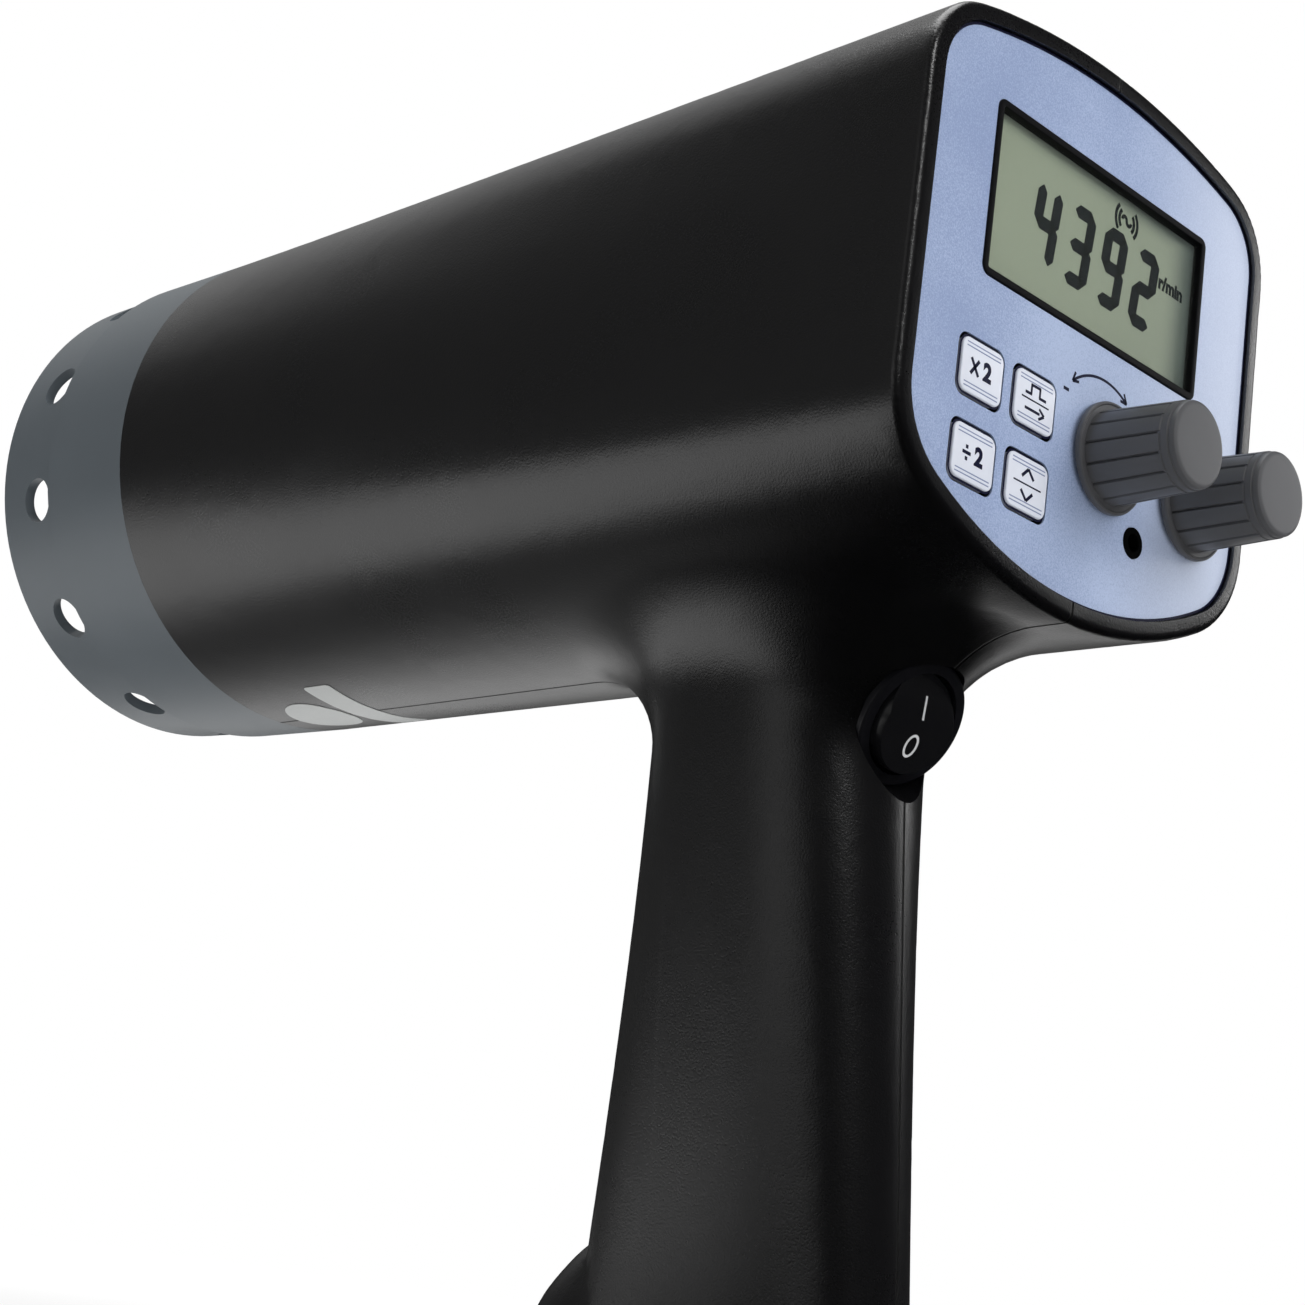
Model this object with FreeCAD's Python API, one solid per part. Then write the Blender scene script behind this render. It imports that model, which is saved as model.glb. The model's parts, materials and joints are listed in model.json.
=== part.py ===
"""Hand-held xenon stroboscope: a moulded two-half housing on a standing handle.

Row frame: origin at the centre of the foot's underside, +X the way the flash goes,
+Y the user's left, +Z up. Sizes are in millimetres. Names that end in _x are distances
ahead of the control panel's face, and names that end in _up are heights above the axis
of the lamp head, unless a comment says otherwise.
"""
import FreeCAD, Part
import math
import os

Vector = FreeCAD.Vector

# Places of the main datums in the row frame
axis_height = 205.0
panel_to_foot = 61.0

# Lamp head: a rounded rear outline that changes into a round barrel
wall = 2.4
panel_half_width = 52.4
panel_top = 50.9
panel_bottom = 52.9
crown_radius = 170.0
belly_radius = 92.0
top_corner = 14.0
bottom_corner = 18.0
rim_width = 3.9
rim_depth = 1.0
rim_round = 1.8
barrel_length = 234.0
barrel_radius = 60.0
section_points = 48

# Rear panel stack, from the rim inwards
overlay_thickness = 0.4
panel_thickness = 2.0
panel_grip = 1.3
fit_gap = 0.2
ledge_thickness = 2.0

# Lens hood
hood_length = 54.2
hood_taper = 1.8
hood_wall = 2.6
hood_step_at = 31.5
hood_step = 0.9
spigot_length = 12.0
vent_count = 12
vent_radius = 5.5
vent_at = 38.0
lens_thickness = 2.4
lens_ledge = 3.0
seal_thickness = 0.6
retainer_thickness = 1.6

# Lamp
reflector_rim_radius = 50.0
reflector_depth = 42.0
reflector_wall = 0.9
reflector_neck = 13.0
lamp_board_radius = 40.0
board_thickness = 1.6
bulkhead_thickness = 2.4
bulkhead_hole = 34.0
tube_radius = 3.2
tube_spread = 7.0
socket_length = 15.0

# Handle: depth and width at each drop below the lamp head's axis
handle_squareness = 2.4
neck_drop = 86.0
neck_rear_x = 33.7
neck_front_x = 95.7
neck_half_width = 22.2
grip_end_drop = 191.0
grip_end_rear_x = 22.0
grip_end_front_x = 97.9
grip_end_half_width = 16.0
neck_round = 27.0
neck_overlap = 64.0
floor_thickness = 3.0

# Toe in front of the grip's end, and the hollow base cap below both
toe_rear_x = 60.0
toe_reach = 13.2
toe_height = 16.0
toe_half_width = 13.0
toe_bow = 1.4
base_seam = 0.3
base_edge = 1.2
base_spread = 0.6

# Round rocker switch in the crook of handle and head
switch_x = 33.5
switch_drop = 74.0
switch_slope = 29.4
bezel_radius = 13.15
bezel_thickness = 1.6
rocker_radius = 10.2
rocker_throw = 12.0
rocker_gap = 0.5
switch_neck_radius = 12.2
switch_neck_length = 9.0
switch_body_length = 21.0
pin_radius = 1.2
pin_clearance = 0.06

# Display
display_y = 0.2
display_up = 16.5
display_width = 70.2
display_height = 34.9
display_border = 2.4
display_stand = 0.5
display_recess = 3.4
pane_thickness = 0.8
glass_thickness = 1.8

# Keys, in two columns and two rows
key_width = 13.3
key_height = 11.5
key_corner = 2.2
key_stand = 1.3
key_gap = 0.25
key_travel = 0.4
key_flange = 1.2
key_flange_thickness = 0.8
key_stem_radius = 2.4
column_y = {"outer": 32.7, "inner": 16.5}
row_up = {"upper": -19.5, "lower": -35.6}
tact_size = 6.0
tact_height = 4.3
tact_button_radius = 1.7
tact_button_height = 1.0
tact_gap = 0.5
control_board_x = 16.0

# Two speed knobs on potentiometers
knob_places = {"fine": (-7.2, -22.5), "coarse": (-36.3, -22.5)}
knob_flange_radius = 10.9
knob_flange_thickness = 2.2
knob_base_radius = 9.3
knob_top_radius = 8.5
knob_length = 19.6
knob_stand = 0.6
knob_flutes = 14
flute_radius = 0.7
cap_radius = 7.9
cap_height = 1.6
bush_radius = 3.5
bush_reach = 4.0
shaft_radius = 3.0
shaft_clearance = 0.05
nut_flats = 10.0
nut_thickness = 2.0
washer_radius = 5.6
washer_thickness = 0.5
pot_radius = 8.2
pot_length = 8.4

# External trigger jack
jack_y = -18.5
jack_up = -35.6
jack_bush_radius = 3.0
jack_bore_radius = 1.8
jack_depth = 14.0
jack_body = 9.0

# Boards and wound parts inside
power_board_x = 76.0
power_board_length = 62.0
power_board_width = 70.0
power_board_drop = 38.0
board_post_radius = 3.2
board_post_inset = 7.0
capacitor_radius = 13.0
capacitor_length = 44.0
coil_size = 13.0
core_depth = 39.0
core_width = 23.0
core_height = 52.0
winding_bulge = 1.2

# Case screws: distance ahead of the panel, height above the axis
screw_places = [(40.0, 36.0), (168.0, 44.0), (168.0, -44.0), (52.0, -108.0), (88.0, -140.0)]
screw_post_radius = 4.2
screw_radius = 1.5
screw_head_radius = 2.9
screw_head_height = 2.2
screw_sink = 9.0
screw_reach = 10.0
base_screw_places = [(37.0, 7.0), (37.0, -7.0), (86.5, 7.0), (86.5, -7.0)]
base_screw_post = 9.0
base_screw_sink = 5.0

# Mains inlet in the base cap's heel
inlet_height_above_foot = 7.0
inlet_width = 15.0
inlet_height = 8.4
inlet_depth = 12.0
inlet_flange = 1.4
inlet_wall = 1.2
pin_spacing = 7.8
inlet_pin_radius = 1.2

# Values worked out from the ones above
panel_x = -panel_to_foot
panel_back_x = overlay_thickness + panel_thickness
hood_front_radius = barrel_radius - hood_taper
foot_drop = axis_height
cap_top_drop = grip_end_drop + base_seam


def at(x, y, up):
    """A point from its distance ahead of the panel, its side and its height above the axis."""
    return Vector(panel_x + x, y, axis_height + up)


def rod(start, radius, length, direction=Vector(1, 0, 0)):
    return Part.makeCylinder(radius, length, start, direction)


def tube(start, outer, inner, length, direction=Vector(1, 0, 0)):
    return rod(start, outer, length, direction).cut(rod(start, inner, length, direction))


def block(x, y, up, length, width, height):
    """A box from its rear face, centred on y and up."""
    return Part.makeBox(length, width, height, at(x, y - width / 2, up - height / 2))


def plate(x, y, up, length, width, height, corner):
    """A box from its rear face whose four long edges are rounded."""
    edges = []
    solid = block(x, y, up, length, width, height)
    for edge in solid.Edges:
        if abs(edge.tangentAt(edge.FirstParameter).x) > 0.99:
            edges.append(edge)
    return solid.makeFillet(corner, edges)


def turned(profile, x=0.0):
    """Revolve (x, radius) pairs about the lamp head's axis."""
    points = [at(x + along, 0, radius) for along, radius in profile]
    face = Part.Face(Part.makePolygon(points + [points[0]]))
    return face.revolve(at(0, 0, 0), Vector(1, 0, 0), 360)


def export(node, shape):
    shape.exportStep("parts/%s.step" % node)


def outline(grow, x):
    """The rear panel's outline, grown outwards, as a wire of lines and tangent arcs."""
    half = panel_half_width + grow
    middle = {}
    for side, reach, bow, corner in ((1, panel_top, crown_radius, top_corner),
                                     (-1, panel_bottom, belly_radius, bottom_corner)):
        height, radius, round_off = reach + grow, bow + grow, corner + grow
        rise = math.sqrt((radius - round_off) ** 2 - (half - round_off) ** 2)
        centre_up = height - radius + rise
        lean = math.atan2(half - round_off, rise)
        middle[side] = {
            "pole": (0.0, side * height),
            "arc": (radius * math.sin(lean), side * (height - radius + radius * math.cos(lean))),
            "corner": (half - round_off + round_off * math.sin((lean + math.pi / 2) / 2),
                       side * (centre_up + round_off * math.cos((lean + math.pi / 2) / 2))),
            "side": (half, side * centre_up),
            "bow": (radius * math.sin(lean / 2),
                    side * (height - radius + radius * math.cos(lean / 2)))}

    def arc(*names):
        points = [at(x, mirror * middle[side][name][0], middle[side][name][1])
                  for side, mirror, name in names]
        return Part.Arc(*points).toShape()

    def side_line(mirror):
        ends = [at(x, mirror * half, middle[side]["side"][1]) for side in (mirror, -mirror)]
        return Part.makeLine(*ends)

    edges = [arc((1, 1, "pole"), (1, 1, "bow"), (1, 1, "arc")),
             arc((1, 1, "arc"), (1, 1, "corner"), (1, 1, "side")),
             side_line(1),
             arc((-1, 1, "side"), (-1, 1, "corner"), (-1, 1, "arc")),
             arc((-1, 1, "arc"), (-1, 1, "pole"), (-1, -1, "arc")),
             arc((-1, -1, "arc"), (-1, -1, "corner"), (-1, -1, "side")),
             side_line(-1),
             arc((1, -1, "side"), (1, -1, "corner"), (1, -1, "arc")),
             arc((1, -1, "arc"), (1, -1, "bow"), (1, 1, "pole"))]
    return Part.Wire(edges)


def slab(grow, x, thickness):
    """A flat plate with the rear panel's outline."""
    return Part.Face(outline(grow, x)).extrude(Vector(thickness, 0, 0))


def closed_curve(points):
    curve = Part.BSplineCurve()
    curve.interpolate(Points=points, PeriodicFlag=True)
    return Part.Wire(curve.toShape())


def head_form(inset, rear_x, front_x):
    """The lamp head: a loft from the grown panel outline to a circle."""
    rear = outline(rim_width - inset, -rim_depth).discretize(Number=section_points + 1)[:-1]
    front = []
    for index in range(section_points):
        turn = 2 * math.pi * index / section_points
        radius = barrel_radius - inset
        front.append(at(barrel_length, radius * math.sin(turn), radius * math.cos(turn)))
    solid = Part.makeLoft([closed_curve(rear), closed_curve(front)], True, True)
    size = 4 * barrel_radius
    keep = Part.makeBox(front_x - rear_x, size, size, at(rear_x, -size / 2, -size / 2))
    return solid.common(keep)


def handle_section(drop, rear_x, front_x, half_width):
    """A closed superellipse across the handle."""
    depth = (front_x - rear_x) / 2
    points = []
    for index in range(section_points // 2):
        turn = 4 * math.pi * (index + section_points // 12) / section_points
        along, across = math.cos(turn), math.sin(turn)
        reach = (abs(along / depth) ** handle_squareness
                 + abs(across / half_width) ** handle_squareness) ** (-1 / handle_squareness)
        points.append(at((rear_x + front_x) / 2 + reach * along, reach * across, -drop))
    return closed_curve(points)


def handle_form(inset):
    """The straight grip from inside the lamp head down, with its toe in front of the lower end."""
    slope_length = grip_end_drop - neck_drop
    wires = []
    for drop in (neck_drop - neck_overlap, grip_end_drop):
        share = (drop - neck_drop) / slope_length
        wires.append(handle_section(drop, neck_rear_x + (grip_end_rear_x - neck_rear_x) * share + inset,
                                    neck_front_x + (grip_end_front_x - neck_front_x) * share - inset,
                                    neck_half_width + (grip_end_half_width - neck_half_width) * share
                                    - inset))
    return Part.makeLoft(wires, True, True)


def joined(head, handle, inset):
    """The head and the handle as one form, with a round neck between them."""
    both = head.fuse(handle)
    seam = [edge for edge in both.Edges
            if edge.BoundBox.ZMin > axis_height - barrel_radius - 10
            and edge.BoundBox.ZMax < axis_height - barrel_radius / 2
            and edge.BoundBox.XMin > panel_x + 5 and edge.BoundBox.XMax < panel_x + barrel_length / 2]
    return both.makeFillet(neck_round + inset, seam)


def toe_form(inset):
    """A domed toe that stands out in front of the grip's end."""
    wires = []
    steps = 5
    for step in range(steps + 1):
        down = step / steps
        reach = toe_reach * (1 - (1 - down) ** toe_bow)
        half = toe_half_width * (0.55 + 0.45 * math.sqrt(down)) - inset
        wires.append(handle_section(grip_end_drop - toe_height * (1 - down), toe_rear_x,
                                    grip_end_front_x - 1.0 + reach - inset, half))
    return Part.makeLoft(wires, True, False)


def base_form(inset, top_drop, floor_drop):
    """The base cap's block: the outline of the grip's end and its toe, carried down."""
    shapes = []
    for rear, front, half in ((grip_end_rear_x, grip_end_front_x, grip_end_half_width),
                              (toe_rear_x, grip_end_front_x - 1.0 + toe_reach, toe_half_width)):
        wires = []
        for drop, spread in ((cap_top_drop, 0), (foot_drop - base_edge, base_spread),
                             (foot_drop, base_spread - base_edge)):
            grow = spread - inset
            wires.append(handle_section(drop, rear - grow, front + grow, half + grow))
        shapes.append(Part.makeLoft(wires, True, True))
    return slice_between(shapes[0].fuse(shapes[1]), -floor_drop, -top_drop)


def slice_between(shape, low_up, high_up):
    size = 4 * barrel_length
    keep = Part.makeBox(size, size, high_up - low_up, at(-size / 2, -size / 2, low_up))
    return shape.common(keep)


# The switch's own frame: out of the housing, and up along its face
slope = math.radians(switch_slope)
switch_out = Vector(-math.cos(slope), 0, -math.sin(slope))
switch_up = Vector(-math.sin(slope), 0, math.cos(slope))
switch_seat = at(switch_x, 0, -switch_drop) - switch_out * bezel_thickness


def switch_point(out, up=0.0, side=0.0):
    """A point from its distance out of the bezel's seat and along the switch's face."""
    return switch_seat + switch_out * out + switch_up * up + Vector(0, side, 0)


def screw_post(x, up):
    """One case screw's post, along Y through both halves."""
    return rod(at(x, -barrel_radius, up), screw_post_radius, 2 * barrel_radius, Vector(0, 1, 0))


def screw_depth(x, up, outer):
    """How far the right side's skin lies from the parting plane at a screw."""
    probe = Part.makeLine(at(x, -2 * barrel_radius, up), at(x, 0, up)).common(outer)
    return -min(vertex.Point.y for vertex in probe.Vertexes)


def housing():
    head = head_form(0, -rim_depth, barrel_length)
    rim = [edge for edge in head.Edges if edge.BoundBox.XMax < panel_x - rim_depth + 0.01]
    outer = joined(head.makeFillet(rim_round, rim), handle_form(0), 0).fuse(toe_form(0))
    head_space = head_form(wall, overlay_thickness, barrel_length)
    handle_space = slice_between(handle_form(wall), -(grip_end_drop - floor_thickness), 0)
    shell = outer.cut(joined(head_space, handle_space, wall))
    shell = shell.cut(slice_between(toe_form(wall), -(grip_end_drop - floor_thickness), 0))
    opening = slab(0.1, -rim_depth - 1, rim_depth + overlay_thickness + 2)
    shell = shell.cut(opening)

    # The rim that holds the panel from inside, in both halves
    ledge = slab(rim_width - wall + 0.3, panel_back_x, ledge_thickness)
    ledge = ledge.cut(slab(-1.5, panel_back_x, ledge_thickness))
    shell = shell.fuse(ledge.common(outer))

    # A bulkhead ring carries the lamp board
    bulkhead = tube(at(lamp_board_x() + board_thickness, 0, 0), barrel_radius, bulkhead_hole,
                    bulkhead_thickness).common(outer)
    shell = shell.fuse(bulkhead)

    # Posts under the power board, and the wire hole and base screw posts in the floor
    for x, y in board_posts():
        post = rod(at(x, y, -barrel_radius), board_post_radius,
                   barrel_radius - power_board_drop, Vector(0, 0, 1))
        shell = shell.fuse(post.common(outer))
    floor_up = -grip_end_drop
    shell = shell.cut(rod(at(grip_end_rear_x + 17, 0, floor_up - 1), 3.0, floor_thickness + 2,
                          Vector(0, 0, 1)))
    for x, y in base_screw_places:
        post = rod(at(x, y, floor_up), screw_post_radius, base_screw_post, Vector(0, 0, 1))
        shell = shell.fuse(post.common(outer))
        shell = shell.cut(rod(at(x, y, floor_up - 1), screw_radius + 0.15, base_screw_post, Vector(0, 0, 1)))

    # The cup behind the switch
    cup = rod(switch_point(-wall), bezel_radius + fit_gap + wall, 30, switch_out).common(outer)
    shell = shell.fuse(cup)
    shell = shell.cut(rod(switch_point(0), bezel_radius + fit_gap, 40, switch_out))
    shell = shell.cut(rod(switch_point(-switch_body_length - 1), switch_neck_radius + fit_gap,
                          switch_body_length + 2, switch_out))

    # Screw posts, with sunk heads on the right and blind holes on the left
    depths = []
    for x, up in screw_places:
        depths.append(screw_depth(x, up, outer))
        shell = shell.fuse(screw_post(x, up).common(outer))
    for (x, up), depth in zip(screw_places, depths):
        seat = max(depth - screw_sink, 4.0)
        shell = shell.cut(rod(at(x, -seat, up), screw_head_radius + fit_gap, depth, Vector(0, -1, 0)))
        shell = shell.cut(rod(at(x, -seat, up), screw_radius + 0.15, seat + screw_reach, Vector(0, 1, 0)))

    size = 4 * barrel_length
    left = shell.common(Part.makeBox(size, size, size, Vector(-size / 2, 0, -size / 2)))
    right = shell.common(Part.makeBox(size, size, size, Vector(-size / 2, -size, -size / 2)))
    export("left_shell", left)
    export("right_shell", right)

    screws = []
    for (x, up), depth in zip(screw_places, depths):
        seat = max(depth - screw_sink, 4.0)
        head = rod(at(x, -seat, up), screw_head_radius, screw_head_height, Vector(0, -1, 0))
        shank = rod(at(x, -seat, up), screw_radius, seat + screw_reach - 1, Vector(0, 1, 0))
        screws.append(head.fuse(shank))
    for x, y in base_screw_places:
        head_up = -foot_drop + base_screw_sink
        head = rod(at(x, y, head_up - screw_head_height), screw_head_radius, screw_head_height,
                   Vector(0, 0, 1))
        reach = foot_drop - grip_end_drop + base_screw_post - base_screw_sink - 3
        shank = rod(at(x, y, head_up), screw_radius, reach, Vector(0, 0, 1))
        screws.append(head.fuse(shank))
    export("case_screws", Part.makeCompound(screws))


def lamp_board_x():
    """The lamp board's rear face, behind the reflector and the socket."""
    return barrel_length - 1.0 - reflector_depth - 8.0


def board_posts():
    places = []
    for x in (power_board_x + board_post_inset, power_board_x + power_board_length - board_post_inset):
        for side in (1, -1):
            places.append((x, side * (power_board_width / 2 - board_post_inset)))
    return places


def inlet_rear_x():
    """The heel's surface at the height of the inlet."""
    return grip_end_rear_x - base_spread / 2


def inlet_block(rear_x, length, shrink):
    """A block on the inlet's axis, smaller than its body by a wall all round."""
    return block(rear_x, 0, inlet_height_above_foot - foot_drop, length,
                 inlet_width - 2 * shrink, inlet_height - 2 * shrink)


def base():
    cap = base_form(0, cap_top_drop, foot_drop)
    cap = cap.cut(base_form(wall, cap_top_drop - 1, foot_drop - floor_thickness))
    outer = base_form(0, cap_top_drop, foot_drop)
    for x, y in base_screw_places:
        post = rod(at(x, y, -foot_drop), screw_post_radius, foot_drop - cap_top_drop, Vector(0, 0, 1))
        cap = cap.fuse(post.common(outer))
    for x, y in base_screw_places:
        cap = cap.cut(rod(at(x, y, -foot_drop - 1), screw_head_radius + fit_gap, base_screw_sink + 1,
                          Vector(0, 0, 1)))
        cap = cap.cut(rod(at(x, y, -foot_drop), screw_radius + 0.15, foot_drop, Vector(0, 0, 1)))
    cap = cap.cut(inlet_block(inlet_rear_x() - 5, inlet_depth + 5.5, -fit_gap))
    export("base_cap", cap)


def hood():
    outer, inner = barrel_radius, hood_front_radius - hood_wall
    step_radius = hood_front_radius + (outer - hood_front_radius) * 0.3
    bore = barrel_radius - wall - fit_gap
    start = -spigot_length
    profile = [(start, bore), (0, bore), (0, outer), (hood_step_at, step_radius + hood_step),
               (hood_step_at, step_radius), (hood_length - 0.8, hood_front_radius),
               (hood_length, hood_front_radius - 0.8), (hood_length, inner + 0.4),
               (lens_ledge, inner), (lens_ledge, inner - lens_ledge), (-2.0, inner - lens_ledge),
               (-2.0, bore - hood_wall), (start, bore - hood_wall)]
    shape = turned(profile, barrel_length)
    for index in range(vent_count):
        turn = math.radians(360 / vent_count * (index + 0.5))
        way = Vector(0, math.cos(turn), math.sin(turn))
        shape = shape.cut(rod(at(barrel_length + vent_at, 0, 0) + way * (inner - 4), vent_radius, 12, way))
    export("lens_hood", shape)

    seal = tube(at(barrel_length + lens_ledge, 0, 0), inner - 0.3, inner - lens_ledge + 0.4,
                seal_thickness)
    export("lens_seal", seal)
    lens_x = barrel_length + lens_ledge + seal_thickness
    export("front_lens", rod(at(lens_x, 0, 0), inner - 0.3, lens_thickness))
    ring = tube(at(lens_x + lens_thickness, 0, 0), inner - 0.05, inner - 2.2, retainer_thickness)
    export("lens_retainer", ring)


def lamp():
    rim_x = barrel_length - 2.0
    apex_x = rim_x - 1.0 - reflector_depth
    spread = reflector_rim_radius ** 2 / reflector_depth
    stations = 7
    inside = []
    for step in range(stations + 1):
        radius = reflector_neck + (reflector_rim_radius - reflector_neck) * step / stations
        inside.append((apex_x + radius ** 2 / spread, radius))
    flange = barrel_radius - wall - fit_gap - hood_wall - 0.3
    outside = [(x - reflector_wall * 0.5, radius + reflector_wall) for x, radius in inside]
    collar_x = lamp_board_x() + board_thickness + bulkhead_thickness
    profile = inside + [(rim_x, reflector_rim_radius), (rim_x, flange), (rim_x - 1.0, flange)]
    profile += outside[::-1]
    profile += [(collar_x, reflector_neck + reflector_wall), (collar_x, reflector_neck)]
    export("reflector", turned(profile))

    board_x = lamp_board_x()
    socket_x = board_x + board_thickness
    body = rod(at(socket_x, 0, 0), reflector_neck - 0.5, socket_length)
    seat_depth = 5.0
    for side in (1, -1):
        body = body.cut(rod(at(socket_x + socket_length - seat_depth, side * tube_spread, 0),
                            tube_radius + 0.15, seat_depth + 1))
    export("lamp_socket", body)

    leg_x = socket_x + socket_length - seat_depth
    leg = 26.0
    bend_x = leg_x + leg
    glass = None
    for side in (1, -1):
        part = rod(at(leg_x, side * tube_spread, 0), tube_radius, leg)
        glass = part if glass is None else glass.fuse(part)
    bend = Part.makeTorus(tube_spread, tube_radius, at(bend_x, 0, 0), Vector(0, 0, 1))
    keep = block(bend_x, 0, 0, 20, 40, 20)
    glass = glass.fuse(bend.common(keep)).removeSplitter()
    export("xenon_tube", glass)

    board = rod(at(board_x, 0, 0), lamp_board_radius, board_thickness)
    export("lamp_board", board)


def power():
    board = block(power_board_x, 0, -power_board_drop + board_thickness / 2, power_board_length,
                  power_board_width, board_thickness)
    export("power_board", board)
    top = -power_board_drop + board_thickness
    cans = []
    for side in (1, -1):
        can = rod(at(power_board_x + 8, side * (capacitor_radius + 2), top + capacitor_radius),
                  capacitor_radius, capacitor_length)
        cans.append(can.makeFillet(1.5, [edge for edge in can.Edges if edge.Closed]))
    export("flash_capacitors", Part.makeCompound(cans))
    coil = plate(power_board_x + capacitor_length + 9, 0, top + coil_size / 2, coil_size * 0.55,
                 coil_size * 1.5, coil_size, 1.5)
    export("trigger_coil", coil)

    shelf_top = -(grip_end_drop - floor_thickness)
    middle = (neck_rear_x + neck_front_x + grip_end_rear_x + grip_end_front_x) / 4
    core = block(middle - core_depth / 2, 0, shelf_top + core_height / 2, core_depth, core_width,
                 core_height)
    window = block(middle - core_depth / 4, 0, shelf_top + core_height / 2, core_depth / 2,
                   core_width + 2, core_height * 0.62)
    export("transformer_core", core.cut(window))
    winding = plate(middle - core_depth / 4 + 0.2, 0, shelf_top + core_height / 2,
                    core_depth / 2 - 0.4, core_width + 2 * winding_bulge, core_height * 0.6, 2.0)
    export("transformer_winding", winding)


def key_holes(gap):
    holes = []
    for y in column_y.values():
        for up in row_up.values():
            holes.append(plate(-2, y, up, 8, key_width + 2 * gap, key_height + 2 * gap, key_corner + gap))
    return holes


def panel():
    grow = rim_width - wall - fit_gap
    back = slab(grow, overlay_thickness, panel_thickness)
    face = slab(-0.1, 0, overlay_thickness)
    window = plate(-2, display_y, display_up, 8, display_width + 0.2, display_height + 0.2, 2.1)
    holes = [window] + key_holes(key_gap)
    for y, up in knob_places.values():
        holes.append(rod(at(-2, y, up), bush_radius + 0.1, 8))
    holes.append(rod(at(-2, jack_y, jack_up), jack_bush_radius + 0.1, 8))
    for hole in holes:
        back = back.cut(hole)
        face = face.cut(hole)
    for y, up in board_pillars():
        pillar = rod(at(panel_back_x, y, up), 3.2, control_board_x - panel_back_x)
        back = back.fuse(pillar)
    export("rear_panel", back)
    export("panel_overlay", face)
    board = slab(-9.0, control_board_x, board_thickness)
    export("control_board", board)


def board_pillars():
    return [(38.0, 26.0), (-38.0, 26.0), (38.0, -4.0), (-38.0, -4.0), (4.0, -39.0)]


def display():
    frame = plate(-display_stand, display_y, display_up, display_recess + display_stand,
                  display_width, display_height, 2.0)
    inner_width = display_width - 2 * display_border
    inner_height = display_height - 2 * display_border
    frame = frame.cut(plate(-2, display_y, display_up, 12, inner_width, inner_height, 1.0))
    export("display_frame", frame)
    pane_x = display_recess
    export("display_window", block(pane_x, display_y, display_up, pane_thickness,
                                   display_width - 1, display_height - 1))
    glass_x = pane_x + pane_thickness
    export("lcd_glass", block(glass_x, display_y, display_up, glass_thickness,
                              display_width - 1, display_height - 1))
    carrier_x = glass_x + glass_thickness
    depth = control_board_x - carrier_x
    carrier = block(carrier_x, display_y, display_up, depth, display_width - 1, display_height - 1)
    hollow = block(carrier_x + 1.5, display_y, display_up, depth, display_width - 4, display_height - 4)
    export("lcd_carrier", carrier.cut(hollow))


def keys():
    names = {("outer", "upper"): "key_times_two", ("outer", "lower"): "key_divide_two",
             ("inner", "upper"): "key_trigger", ("inner", "lower"): "key_range"}
    button_x = control_board_x - tact_height - tact_button_height
    switches = []
    for (column, row), node in names.items():
        y, up = column_y[column], row_up[row]
        cap = plate(-key_stand, y, up, key_stand + panel_back_x + fit_gap, key_width, key_height,
                    key_corner)
        front = [edge for edge in cap.Edges
                 if abs(edge.BoundBox.XMin - (panel_x - key_stand)) < 0.001 and edge.BoundBox.XLength < 0.001]
        cap = cap.makeFillet(0.5, front)
        flange = plate(panel_back_x + fit_gap, y, up, key_flange_thickness,
                       key_width + 2 * key_flange, key_height + 2 * key_flange, key_corner)
        stem = rod(at(panel_back_x, y, up), key_stem_radius, button_x - tact_gap - panel_back_x)
        export(node, cap.fuse(flange).fuse(stem).removeSplitter())
        base = block(control_board_x - tact_height, y, up, tact_height, tact_size, tact_size)
        button = rod(at(button_x, y, up), tact_button_radius, tact_button_height)
        switches.append(base.fuse(button))
    export("key_switches", Part.makeCompound(switches))


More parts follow.
